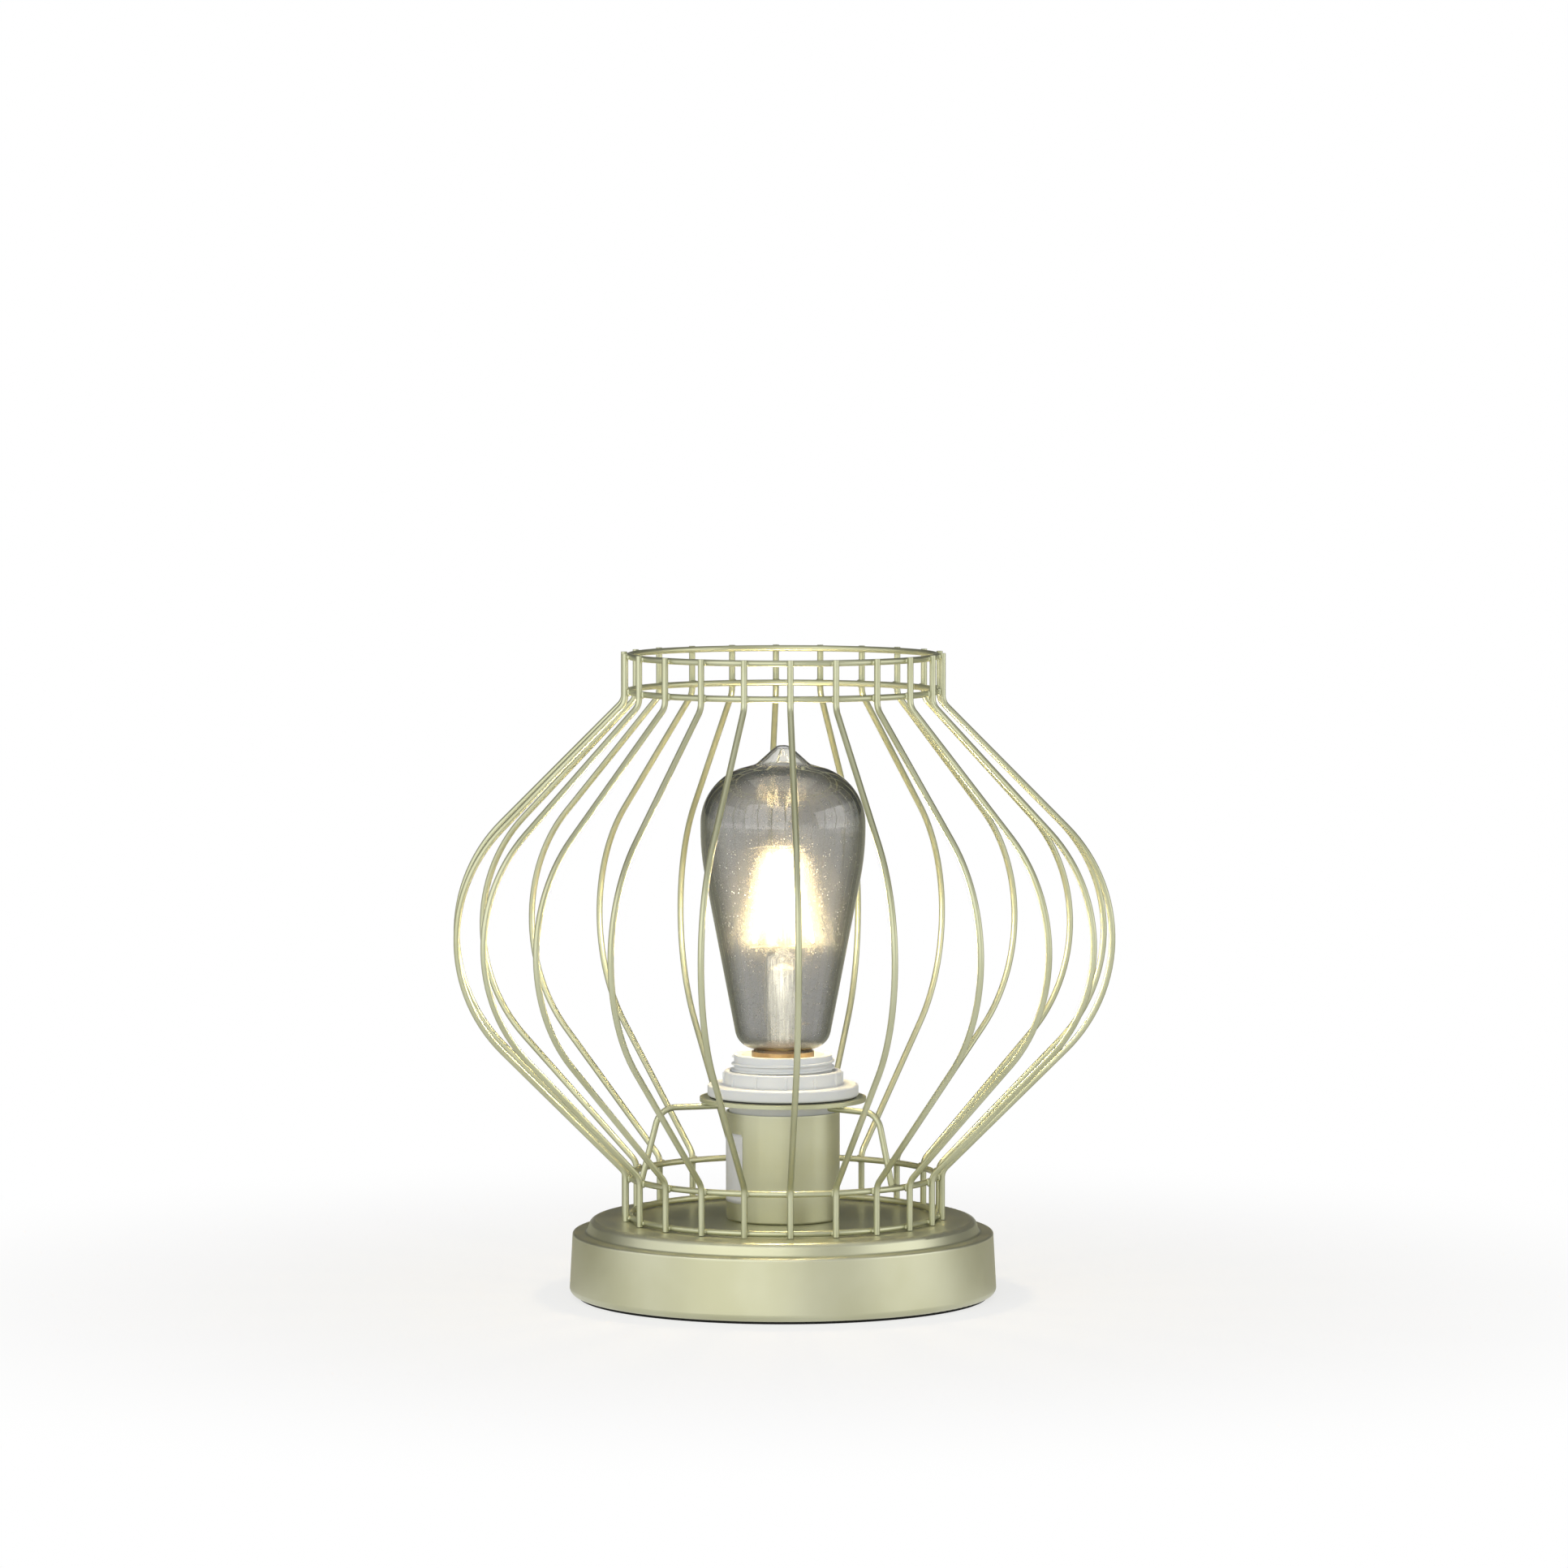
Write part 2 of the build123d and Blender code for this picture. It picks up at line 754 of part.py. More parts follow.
# Glass stem: flare sealed in the neck, hollow tube and a solid post
flare_r = neck_r - bulb_wall - fit_gap
stem_bore_r = stem_d / 2 - stem_wall
with BuildPart() as bulb_stem:
    with BuildSketch(bulb_plane):
        with BuildLine():
            Polyline(
                (flare_r, glass_foot),
                (stem_d / 2, stem_flare_height),
                (stem_d / 2, stem_height - stem_crown),
                (stem_post_d / 2, stem_height),
                (stem_post_d / 2, stem_post_height),
                (0, stem_post_height),
                (0, stem_height - stem_crown - stem_wall),
                (stem_bore_r, stem_height - stem_crown - stem_wall - stem_bore_cone),
                (stem_bore_r, stem_flare_height),
                (flare_r - stem_wall, glass_foot),
                close=True,
            )
        make_face()
    revolve(axis=Axis.Z)
write(bulb_stem, "bulb_stem")

# Filament strips stand in a cone, and a spoke wire holds each end of each strip
filament_step = 360 / filament_count
strip_bottom = bulb_foot + filament_foot_height
strip_top = bulb_foot + filament_head_height
foot_spoke_height = strip_bottom - spoke_wire / 2 - contact_gap
head_spoke_height = strip_top + spoke_wire / 2 + contact_gap
with BuildPart() as led_filaments:
    for n in range(filament_count):
        spoke_plane = radial_plane(first_rib_deg + filament_step * (n + 0.5))
        strip_foot = spoke_plane.from_local_coords(Vector(filament_foot_r, strip_bottom, 0))
        strip_head = spoke_plane.from_local_coords(Vector(filament_head_r, strip_top, 0))
        strip_run = strip_head - strip_foot
        with BuildSketch(Plane(origin=strip_foot, x_dir=spoke_plane.z_dir, z_dir=strip_run)):
            Rectangle(filament_width, filament_thickness)
        extrude(amount=strip_run.length)
write(led_filaments, "led_filaments")

with BuildPart() as filament_spokes:
    for n in range(filament_count):
        spoke_plane = radial_plane(first_rib_deg + filament_step * (n + 0.5))
        for spoke_height, spoke_end in (
            (foot_spoke_height, filament_foot_r),
            (head_spoke_height, filament_head_r),
        ):
            spoke_start = spoke_plane.from_local_coords(Vector(stem_post_d / 2 + fit_gap, spoke_height, 0))
            with BuildSketch(Plane(origin=spoke_start, z_dir=spoke_plane.x_dir)):
                Circle(spoke_wire / 2)
            extrude(amount=spoke_end + filament_thickness - stem_post_d / 2 - fit_gap)
write(filament_spokes, "filament_spokes")

with BuildPart() as driver_board:
    with BuildSketch(Plane.XY.offset(bulb_foot + insulator_top + cup_gap)):
        Rectangle(2 * (cap_bore_r - cup_gap), board_thickness)
    extrude(amount=board_height)
    with BuildSketch(Plane.XY.offset(bulb_foot + insulator_top + cup_gap)):
        with Locations((0, capacitor_d / 2)):
            Circle(capacitor_d / 2)
    extrude(amount=capacitor_height)
write(driver_board, "driver_board")

# Terminal block on the bottom plate, between the nipple and the cord inlet
pole_x = block_pole_spacing / 2
block_floor = Plane((0, block_distance, plate_top))
block_entry = block_distance - block_length / 2
block_front = Plane((0, block_entry, plate_top + block_hole_height), x_dir=(1, 0, 0), z_dir=(0, -1, 0))
with BuildPart() as terminal_block:
    with BuildSketch(block_floor):
        RectangleRounded(block_width, block_length, block_hole_d / 2)
    extrude(amount=block_height)
    with Locations(block_front):
        with Locations((pole_x, 0), (-pole_x, 0)):
            Hole(block_hole_d / 2, depth=block_length)
    with Locations(block_floor.offset(block_height)):
        with GridLocations(block_pole_spacing, block_screw_spacing, 2, 2):
            Hole(block_screw_d / 2 + fit_gap, depth=block_height - block_hole_height)
write(terminal_block, "terminal_block")

with BuildPart() as block_screws:
    with BuildSketch(block_floor.offset(block_hole_height + block_hole_d / 2)):
        with GridLocations(block_pole_spacing, block_screw_spacing, 2, 2):
            Circle(block_screw_d / 2)
    extrude(amount=block_screw_length)
write(block_screws, "block_screws")

# Leads: from the posts, down through the nipple, to the terminal block
for lead_name, lead_side in (("live_lead", 1), ("neutral_lead", -1)):
    lead_route = [
        (lead_side * post_x, 0, spigot_top + lead_socket_depth),
        (lead_side * post_x, 0, spigot_top - lead_drop),
        (lead_side * lead_spread / 2, 0, spigot_top - lead_drop - lead_gather),
        (lead_side * lead_spread / 2, 0, plate_top + block_hole_height),
        (lead_side * pole_x, block_entry + lead_socket_depth, plate_top + block_hole_height),
    ]
    lead_bends = bend_radii(lead_route, [lead_bend] * (len(lead_route) - 2))
    print(lead_name, "bend radii", [round(bend, 1) for bend in lead_bends])
    with BuildPart() as lead:
        with BuildLine() as lead_line:
            FilletPolyline(*lead_route, radius=lead_bends)
        with BuildSketch(Plane(origin=lead_line.line @ 0, z_dir=lead_line.line % 0)):
            Circle(lead_d / 2)
        sweep()
    write(lead, lead_name)
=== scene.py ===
import math

import bmesh
import bpy
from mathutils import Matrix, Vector, noise


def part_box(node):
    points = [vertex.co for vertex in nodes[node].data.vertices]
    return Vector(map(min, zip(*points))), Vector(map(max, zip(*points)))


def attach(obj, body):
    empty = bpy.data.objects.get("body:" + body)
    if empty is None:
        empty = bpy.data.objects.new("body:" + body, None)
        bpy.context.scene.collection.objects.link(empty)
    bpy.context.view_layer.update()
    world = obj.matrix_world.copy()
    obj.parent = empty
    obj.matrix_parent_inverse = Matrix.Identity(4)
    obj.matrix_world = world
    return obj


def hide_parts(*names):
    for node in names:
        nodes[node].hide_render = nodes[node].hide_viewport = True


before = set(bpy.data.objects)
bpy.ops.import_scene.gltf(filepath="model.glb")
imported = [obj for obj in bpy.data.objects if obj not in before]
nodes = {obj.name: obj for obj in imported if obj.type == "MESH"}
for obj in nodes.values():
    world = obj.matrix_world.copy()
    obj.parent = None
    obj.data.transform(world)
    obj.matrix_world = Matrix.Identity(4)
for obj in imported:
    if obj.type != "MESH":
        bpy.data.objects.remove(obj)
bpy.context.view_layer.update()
bpy.context.scene.view_settings.view_transform = "Standard"
print("frame loaded,", len(nodes), "nodes")


class Wire:
    # a socket that takes part in plain Python sums
    def __init__(self, finish, socket):
        self.finish = finish
        self.socket = socket

    def __add__(self, other):
        return self.finish.maths("ADD", self, other)

    def __radd__(self, other):
        return self.finish.maths("ADD", other, self)

    def __sub__(self, other):
        return self.finish.maths("SUBTRACT", self, other)

    def __rsub__(self, other):
        return self.finish.maths("SUBTRACT", other, self)

    def __mul__(self, other):
        return self.finish.maths("MULTIPLY", self, other)

    def __rmul__(self, other):
        return self.finish.maths("MULTIPLY", other, self)

    def __truediv__(self, other):
        return self.finish.maths("DIVIDE", self, other)

    def __rtruediv__(self, other):
        return self.finish.maths("DIVIDE", other, self)

    def __pow__(self, other):
        return self.finish.maths("POWER", self, other)

    def __rpow__(self, other):
        return self.finish.maths("POWER", other, self)


class Finish:
    # one material, or the world, and the nodes in it
    def __init__(self, name, world=False):
        self.block = (bpy.data.worlds if world else bpy.data.materials).new(name)
        self.block.use_nodes = True
        self.tree = self.block.node_tree
        self.tree.nodes.clear()
        self.end = self.tree.nodes.new("ShaderNodeOutputWorld" if world else "ShaderNodeOutputMaterial")

    def add(self, kind, settings=None, sockets=None, out=0):
        node = self.tree.nodes.new("ShaderNode" + kind)
        for key, value in (settings or {}).items():
            setattr(node, key, value)
        for key, value in (sockets or {}).items():
            if isinstance(value, Wire):
                self.tree.links.new(value.socket, node.inputs[key])
            else:
                node.inputs[key].default_value = value
        if isinstance(out, tuple):
            return [Wire(self, node.outputs[each]) for each in out]
        return Wire(self, node.outputs[out])

    def maths(self, operation, first, second):
        return self.add("Math", {"operation": operation}, {0: first, 1: second})

    def clamped(self, value):
        return self.add("Clamp", None, {"Value": value})

    def ramp(self, value, low, high):
        # 0 below low, 1 above high, smooth between
        settings = {"interpolation_type": "SMOOTHSTEP"}
        return self.add("MapRange", settings, {"Value": value, "From Min": low, "From Max": high})

    def mix(self, mask, first, second):
        return self.add("Mix", {"data_type": "RGBA"}, {0: mask, 6: first, 7: second}, out=2)

    def blend(self, mask, first, second):
        return self.add("MixShader", None, {0: mask, 1: first, 2: second})

    def noise(self, at, scale, detail=2.0, roughness=0.5):
        sockets = {"Vector": at, "Scale": scale, "Detail": detail, "Roughness": roughness}
        return self.add("TexNoise", None, sockets)

    def cells(self, at, scale):
        return self.add("TexVoronoi", {"feature": "F1"}, {"Vector": at, "Scale": scale}, out="Distance")

    def stretched(self, at, factors):
        return self.add("VectorMath", {"operation": "MULTIPLY"}, {0: at, 1: factors})

    def bump(self, height, distance):
        return self.add("Bump", None, {"Height": height, "Distance": distance, "Strength": 1.0})

    def place(self):
        return self.add("TexCoord", out="Object")

    def height(self, at):
        return self.add("SeparateXYZ", None, {0: at}, out="Z")

    def radius(self, at):
        # distance from the lamp axis
        x, y = self.add("SeparateXYZ", None, {0: at}, out=("X", "Y"))
        return (x * x + y * y) ** 0.5

    def nearRings(self, at, rings, core):
        # 1 along each ring round the axis, down to 0 at its reach
        radius, height = self.radius(at), self.height(at)
        total = 0.0
        for ringRadius, ringHeight, reach in rings:
            aside = (radius - ringRadius) / reach
            above = (height - ringHeight) / reach
            total = 1 - self.ramp((aside * aside + above * above) ** 0.5, core, 1.0) + total
        return total

    def principled(self, sockets):
        return self.add("BsdfPrincipled", None, sockets)

    def close(self, shader):
        self.tree.links.new(shader.socket, self.end.inputs["Surface"])
        return self.block


def dress(finish, *names):
    for name in names:
        node = nodes[name]
        node.data.materials.clear()
        node.data.materials.append(finish)


def makePiece(name, build, finish, body):
    mesh = bpy.data.meshes.new(name)
    bmesh.ops.recalc_face_normals(build, faces=build.faces)
    build.to_mesh(mesh)
    build.free()
    mesh.polygons.foreach_set("use_smooth", [True] * len(mesh.polygons))
    mesh.materials.append(finish)
    thing = bpy.data.objects.new(name, mesh)
    bpy.context.collection.objects.link(thing)
    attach(thing, body)
    return thing


def around(radius, degrees, height):
    turn = math.radians(degrees)
    return Vector((radius * math.cos(turn), radius * math.sin(turn), height))


# champagne paint

lacquer = {
    "coat": 0.16,
    "driftScale": 26.0,
    "driftSpan": (0.30, 0.70),
    "driftRough": 0.08,
    "peelScale": 420.0,  # orange peel
    "peelDepth": 0.000004,
    "bare": (0.66, 0.66, 0.52, 1),
    "wear": 0.45,
    "wearCore": 0.2,
    "wearScale": 120.0,
    "wearSpan": (0.40, 0.72),
    "wearLeast": 0.55,
    "wearRough": 0.04,
    "baseEdges": [(0.0742, 0.0297, 0.0022), (0.0816, 0.0248, 0.0014)],  # radius, height, reach
    "cupEdges": [(0.02205, 0.0721, 0.0011), (0.0218, 0.0303, 0.0012)],
}

pressedSteel = {
    "light": (0.56, 0.562, 0.398, 1),
    "deep": (0.490, 0.488, 0.318, 1),
    "metallic": 0.80,
    "roughness": 0.37,
    "coatRoughness": 0.12,
}

cageWire = {
    "light": (0.535, 0.546, 0.370, 1),
    "deep": (0.450, 0.457, 0.288, 1),
    "metallic": 0.74,
    "roughness": 0.36,
    "coatRoughness": 0.36,
}


def champagnePaint(name, under, edges=()):
    # satin metallic lacquer: slow drift of tone, orange peel, edges rubbed thin
    f = Finish(name)
    at = f.place()
    drift = f.noise(at, lacquer["driftScale"], 3.0)
    peel = f.noise(at, lacquer["peelScale"], 2.0)
    colour = f.mix(f.ramp(drift, *lacquer["driftSpan"]), under["deep"], under["light"])
    rough = under["roughness"] + (drift - 0.5) * lacquer["driftRough"]
    if edges:
        patchy = f.ramp(f.noise(at, lacquer["wearScale"], 3.0), *lacquer["wearSpan"])
        least = lacquer["wearLeast"]
        worn = f.clamped(f.nearRings(at, edges, lacquer["wearCore"]) * (least + patchy * (1 - least)))
        colour = f.mix(worn * lacquer["wear"], colour, lacquer["bare"])
        rough = rough - worn * lacquer["wearRough"]
    return f.close(f.principled({
        "Base Color": colour,
        "Metallic": under["metallic"],
        "Roughness": rough,
        "Coat Weight": lacquer["coat"],
        "Coat Roughness": under["coatRoughness"],
        "Normal": f.bump(peel, lacquer["peelDepth"]),
    }))


basePaint = champagnePaint("basePaint", pressedSteel, lacquer["baseEdges"])
cupPaint = champagnePaint("cupPaint", pressedSteel, lacquer["cupEdges"])
wirePaint = champagnePaint("wirePaint", cageWire)
rings = ["rim_ring", "upper_neck_ring", "lower_neck_ring", "foot_ring"]
ribsAndArms = [name for name in nodes if name.startswith(("cage_rib_", "spider_arm_"))]
dress(basePaint, "base_shell")
dress(cupPaint, "holder_cup")
dress(wirePaint, "spider_washer", *rings, *ribsAndArms)
print("paint done")


# welds where the wires cross, under the same paint

welds = {
    "wire": 0.0024,
    "ribCount": 22,
    "firstRib": -87.4,
    "armCount": 3,
    "firstArm": -43.0,
    "spread": 0.00165,
    "lobe": 0.13,  # how far the metal squeezes out into the four corners
    "depth": 0.00085,
    "endRoom": 0.00095,  # the rim and foot rings lie close to the ends of the ribs
    "ragged": 0.10,
    "raggedScale": 1.6,
    "raggedShift": 900,  # makes each bead a different lump
    "segments": (20, 10),
    "seam": (0.0021, 0.00075, 0.00070),  # beads along an arm, under the washer
    "seamInsets": (0.0016, 0.0052),
    "seamDrop": 0.0002,
    "seamHalf": 0.0008,
}
upward = Vector((0, 0, 1))


def weldBead(build, place, along, across, outward, size, lobe):
    wide, tall = welds["segments"]
    made = bmesh.ops.create_uvsphere(build, u_segments=wide, v_segments=tall, radius=1.0)
    for vert in made["verts"]:
        unit = vert.co.copy()
        corner = 1 - lobe * math.cos(4 * math.atan2(unit.y, unit.x))
        lump = noise.noise(unit * welds["raggedScale"] + place * welds["raggedShift"])
        spot = along * (unit.x * size[0] * corner) + across * (unit.y * size[1] * corner)
        vert.co = place + (spot + outward * (unit.z * size[2])) * (1 + welds["ragged"] * lump)


def ringWelds(name, ring, tall):
    low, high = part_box(ring)
    height = (low[2] + high[2]) / 2
    contact = (high[0] - low[0]) / 2
    build = bmesh.new()
    size = (welds["spread"], tall, welds["depth"])
    for rib in range(welds["ribCount"]):
        degrees = welds["firstRib"] + 360 / welds["ribCount"] * rib
        spot = around(contact, degrees, height)
        weldBead(build, spot, around(1, degrees + 90, 0), upward, around(1, degrees, 0), size, welds["lobe"])
    makePiece(name, build, wirePaint, "cage")


def armWelds():
    # each arm is welded to the lower neck ring, and along both sides under the washer
    low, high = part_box("lower_neck_ring")
    ringInside = (high[0] - low[0]) / 2 - welds["wire"]
    ringHeight = (low[2] + high[2]) / 2
    washerLow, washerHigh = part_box("spider_washer")
    build = bmesh.new()
    crossing = (welds["spread"], welds["spread"], welds["depth"])
    for arm in range(welds["armCount"]):
        degrees = welds["firstArm"] + 360 / welds["armCount"] * arm
        outward = around(1, degrees, 0)
        side = around(1, degrees + 90, 0)
        spot = around(ringInside, degrees, ringHeight)
        weldBead(build, spot, side, upward, outward, crossing, welds["lobe"])
        for edge in (-welds["seamHalf"], welds["seamHalf"]):
            for inset in welds["seamInsets"]:
                spot = around(washerHigh[0] - inset, degrees, washerLow[2] - welds["seamDrop"]) + side * edge
                weldBead(build, spot, outward, side, upward, welds["seam"], 0)
    makePiece("armWelds", build, wirePaint, "cage")


ringWelds("rimWelds", "rim_ring", welds["endRoom"])
ringWelds("upperNeckWelds", "upper_neck_ring", welds["spread"])
ringWelds("lowerNeckWelds", "lower_neck_ring", welds["spread"])
ringWelds("footWelds", "foot_ring", welds["endRoom"])
armWelds()
print("welds done")


# blank paper label, stuck round the left of the cup

paperLabel = {
    "radius": 0.02205,
    "lift": 0.00002,
    "thickness": 0.00009,
    "turn": (-208.0, -135.0),
    "height": (0.0373, 0.0643),
    "grid": (44, 16),
    "corner": 0.000744,
    "peel": 0.00018,  # one lower corner has come away a little
    "peelFrom": (0.86, 0.80),  # shares of the width and of the height
    "paper": (0.66, 0.665, 0.67, 1),
    "aged": (0.57, 0.565, 0.53, 1),
    "agedRim": 0.0016,
    "rimTone": 0.5,
    "cloudTone": 0.5,
    "fibreScale": 1900.0,
    "fibreDepth": 0.000008,
    "fibreTone": 0.3,
    "fibreRough": 0.2,
    "cloudScale": 140.0,
    "cloudSpan": (0.45, 0.75),
    "roughness": 0.42,
}


def labelPaper():
    f = Finish("labelPaper")
    at = f.place()
    fibre = f.noise(at, paperLabel["fibreScale"], 4.0, 0.65)
    cloud = f.ramp(f.noise(at, paperLabel["cloudScale"], 3.0), *paperLabel["cloudSpan"])
    height = f.height(at)
    low, high = paperLabel["height"]
    band = paperLabel["agedRim"]
    rim = f.clamped(f.ramp(height, high - band, high) + 1 - f.ramp(height, low, low + band))
    stains = cloud * paperLabel["cloudTone"] + rim * paperLabel["rimTone"]
    aged = f.clamped(stains + (fibre - 0.5) * paperLabel["fibreTone"])
    return f.close(f.principled({
        "Base Color": f.mix(aged, paperLabel["paper"], paperLabel["aged"]),
        "Roughness": paperLabel["roughness"] + (fibre - 0.5) * paperLabel["fibreRough"],
        "Normal": f.bump(fibre, paperLabel["fibreDepth"]),
    }))


def cupLabel():
    build = bmesh.new()
    start, end = paperLabel["turn"]
    low, high = paperLabel["height"]
    tall = high - low
    length = math.radians(end - start) * paperLabel["radius"]
    columns, rows = paperLabel["grid"]
    grid = bmesh.ops.create_grid(build, x_segments=columns, y_segments=rows, size=0.5)
    for vert in grid["verts"]:
        vert.co = Vector((vert.co.x * length, vert.co.y * tall, 0))
    corners = [vert for vert in build.verts if len(vert.link_edges) == 2]
    bmesh.ops.bevel(build, geom=corners, offset=paperLabel["corner"], segments=5, affect="VERTICES")
    bmesh.ops.solidify(build, geom=build.faces[:], thickness=paperLabel["thickness"])
    fromSide, fromTop = paperLabel["peelFrom"]
    for vert in build.verts:
        across, up, out = vert.co
        lifted = max(0.0, across / length + 0.5 - fromSide) / (1 - fromSide)
        lifted *= max(0.0, 0.5 - up / tall - fromTop) / (1 - fromTop)
        radius = paperLabel["radius"] + paperLabel["lift"] + abs(out) + paperLabel["peel"] * lifted ** 2
        degrees = (start + end) / 2 + math.degrees(across / paperLabel["radius"])
        vert.co = around(radius, degrees, (low + high) / 2 + up)
    makePiece("cupLabel", build, labelPaper(), "base")


cupLabel()
print("label done")


# lampholder mouldings

moulding = {
    "white": (0.725, 0.742, 0.740, 1),
    "cool": (0.695, 0.716, 0.728, 1),
    # dark tone of the dust specks, also used for the painted shade in the pockets
    "dust": (0.46, 0.45, 0.42, 1),
    "flowStretch": (60.0, 60.0, 25.0),
    "flowSpan": (0.3, 0.7),
    "flowRough": 0.12,
    "grainScale": 1700.0,
    "grainDepth": 0.000008,
    "grainRough": 0.08,
    "speckScale": 420.0,
    "speckSpan": (0.66, 0.78),
    "speckDust": 0.06,
    "pocketCore": 0.1,
    "pocketShade": 0.4,
    "roughness": 0.34,
    "bend": 1.53,
    # pockets of painted shade: where the barrel leaves the ring and one thread groove above it, and at the
    # foot of the ring's collar
    "barrelPockets": [(0.0190, 0.0880, 0.0012), (0.0190, 0.0905, 0.0010)],  # radius, height, reach
    "ringPockets": [(0.0229, 0.0825, 0.0012)],
}


def whiteMoulding(name, pockets):
    # injection moulded plastic: fine spark texture, faint flow tone, dust specks, and painted shade in the
    # pockets
    f = Finish(name)
    at = f.place()
    flow = f.noise(f.stretched(at, moulding["flowStretch"]), 1.0, 3.0)
    grain = f.noise(at, moulding["grainScale"], 2.0)
    specks = f.ramp(f.noise(at, moulding["speckScale"], 3.0, 0.7), *moulding["speckSpan"])
    # painted shade along the pockets, added to the dust specks in one mask
    pocket = f.nearRings(at, pockets, moulding["pocketCore"])
    dust = f.clamped(pocket * moulding["pocketShade"] + specks * moulding["speckDust"])
    colour = f.mix(f.ramp(flow, *moulding["flowSpan"]), moulding["cool"], moulding["white"])
    rough = moulding["roughness"] + (flow - 0.5) * moulding["flowRough"] + grain * moulding["grainRough"]
    return f.close(f.principled({
        "Base Color": f.mix(dust, colour, moulding["dust"]),
        "Roughness": rough,
        "IOR": moulding["bend"],
        "Normal": f.bump(grain, moulding["grainDepth"]),
    }))


barrelWhite = whiteMoulding("barrelWhite", moulding["barrelPockets"])
ringWhite = whiteMoulding("ringWhite", moulding["ringPockets"])
dress(barrelWhite, "holder_barrel", "holder_dome")
dress(ringWhite, "shade_ring")
print("mouldings done")


# metal of the inner pieces

plating = {
    "lineDepth": 0.000012,
    "lineRough": 0.16,
    "stainScale": 150.0,
    "stainSpan": (0.35, 0.7),
    "stainRough": 0.12,
}

metals = {
    "zincSteel": {
        "light": (0.62, 0.63, 0.64, 1),
        "deep": (0.46, 0.47, 0.47, 1),
        "roughness": 0.34,
        "lineScale": 900.0,
        "brushed": (1, 1, 6),
        "metallic": 1.0,
        "on": ("plate_tabs", "plate_screws", "nipple", "nipple_nut", "lock_washer", "block_screws"),
    },
    "brassStrip": {
        "light": (0.72, 0.53, 0.24, 1),
        "deep": (0.52, 0.36, 0.15, 1),
        "roughness": 0.30,
        "lineScale": 1100.0,
        "brushed": (1, 4, 1),
        "metallic": 1.0,
        "on": ("terminal_posts", "centre_contact", "side_contact"),
    },
    "capBrass": {
        "light": (0.50, 0.36, 0.19, 1),
        "deep": (0.34, 0.23, 0.11, 1),
        "roughness": 0.32,
        "lineScale": 800.0,
        "brushed": (1, 1, 8),
        "metallic": 1.0,
        "on": ("bulb_cap", "bulb_contact"),
    },
    "supportWire": {
        "light": (0.70, 0.66, 0.56, 1),
        "deep": (0.52, 0.47, 0.38, 1),
        "roughness": 0.30,
        "lineScale": 1500.0,
        "brushed": (1, 1, 3),
        "metallic": 1.0,
        "on": ("filament_spokes",),
    },
    "plateBlack": {
        "light": (0.035, 0.035, 0.035, 1),
        "deep": (0.020, 0.020, 0.020, 1),
        "roughness": 0.46,
        "lineScale": 700.0,
        "brushed": (1, 1, 1),
        "metallic": 0.2,
        "on": ("bottom_plate",),
    },
}


def metal(name, look):
    # cut, plated or blacked metal: fine lines one way, and stains
    f = Finish(name)
    at = f.place()
    lines = f.noise(f.stretched(at, look["brushed"]), look["lineScale"], 4.0, 0.6)
    stain = f.noise(at, plating["stainScale"], 3.0)
    rough = look["roughness"] + (lines - 0.5) * plating["lineRough"] + (stain - 0.5) * plating["stainRough"]
    return f.close(f.principled({
        "Base Color": f.mix(f.ramp(stain, *plating["stainSpan"]), look["light"], look["deep"]),
        "Metallic": look["metallic"],
        "Roughness": rough,
        "Normal": f.bump(lines, plating["lineDepth"]),
    }))


metalFinishes = {name: metal(name, look) for name, look in metals.items()}
for name, look in metals.items():
    dress(metalFinishes[name], *look["on"])
supportWire = metalFinishes["supportWire"]
print("metals done")


# rubber, ceramic, board and lead sheaths

grained = {
    "grainRough": 0.2,
    "mottleScale": 90.0,
    "mottleSpan": (0.3, 0.7),
    "dustScale": 500.0,
    "dustSpan": (0.62, 0.80),
    "dustShare": 0.3,
}

compounds = {
    "gasketRubber": {
        "light": (0.040, 0.039, 0.037, 1),
        "deep": (0.016, 0.016, 0.016, 1),
        "roughness": 0.62,
        "grainScale": 1300.0,
        "grainDepth": 0.00003,
        "on": "clamp_gasket",
    },
    "bushingBlack": {
        "light": (0.045, 0.044, 0.042, 1),
        "deep": (0.018, 0.018, 0.018, 1),
        "roughness": 0.46,
        "grainScale": 1500.0,
        "grainDepth": 0.00001,
        "on": "cord_bushing",
    },
    "capBlackGlass": {
        "light": (0.030, 0.026, 0.030, 1),
        "deep": (0.012, 0.010, 0.014, 1),
        "roughness": 0.12,
        "grainScale": 500.0,
        "grainDepth": 0.00001,
        "on": "bulb_insulator",
    },
    "porcelain": {
        "light": (0.78, 0.76, 0.71, 1),
        "deep": (0.68, 0.66, 0.61, 1),
        "roughness": 0.20,
        "grainScale": 800.0,
        "grainDepth": 0.00001,
        "on": "holder_core",
    },
    "boardGreen": {
        "light": (0.06, 0.20, 0.09, 1),
        "deep": (0.03, 0.12, 0.05, 1),
        "roughness": 0.40,
        "grainScale": 1600.0,
        "grainDepth": 0.00002,
        "on": "driver_board",
    },
    "blockCream": {
        "light": (0.74, 0.71, 0.62, 1),
        "deep": (0.62, 0.59, 0.50, 1),
        "roughness": 0.42,
        "grainScale": 1500.0,
        "grainDepth": 0.00001,
        "on": "terminal_block",
    },
    "leadBrown": {
        "light": (0.16, 0.075, 0.035, 1),
        "deep": (0.10, 0.045, 0.02, 1),
        "roughness": 0.38,
        "grainScale": 1200.0,
        "grainDepth": 0.00001,
        "on": "live_lead",
    },
    "leadBlue": {
        "light": (0.045, 0.15, 0.42, 1),
        "deep": (0.03, 0.09, 0.28, 1),
        "roughness": 0.38,
        "grainScale": 1200.0,
        "grainDepth": 0.00001,
        "on": "neutral_lead",
    },
}


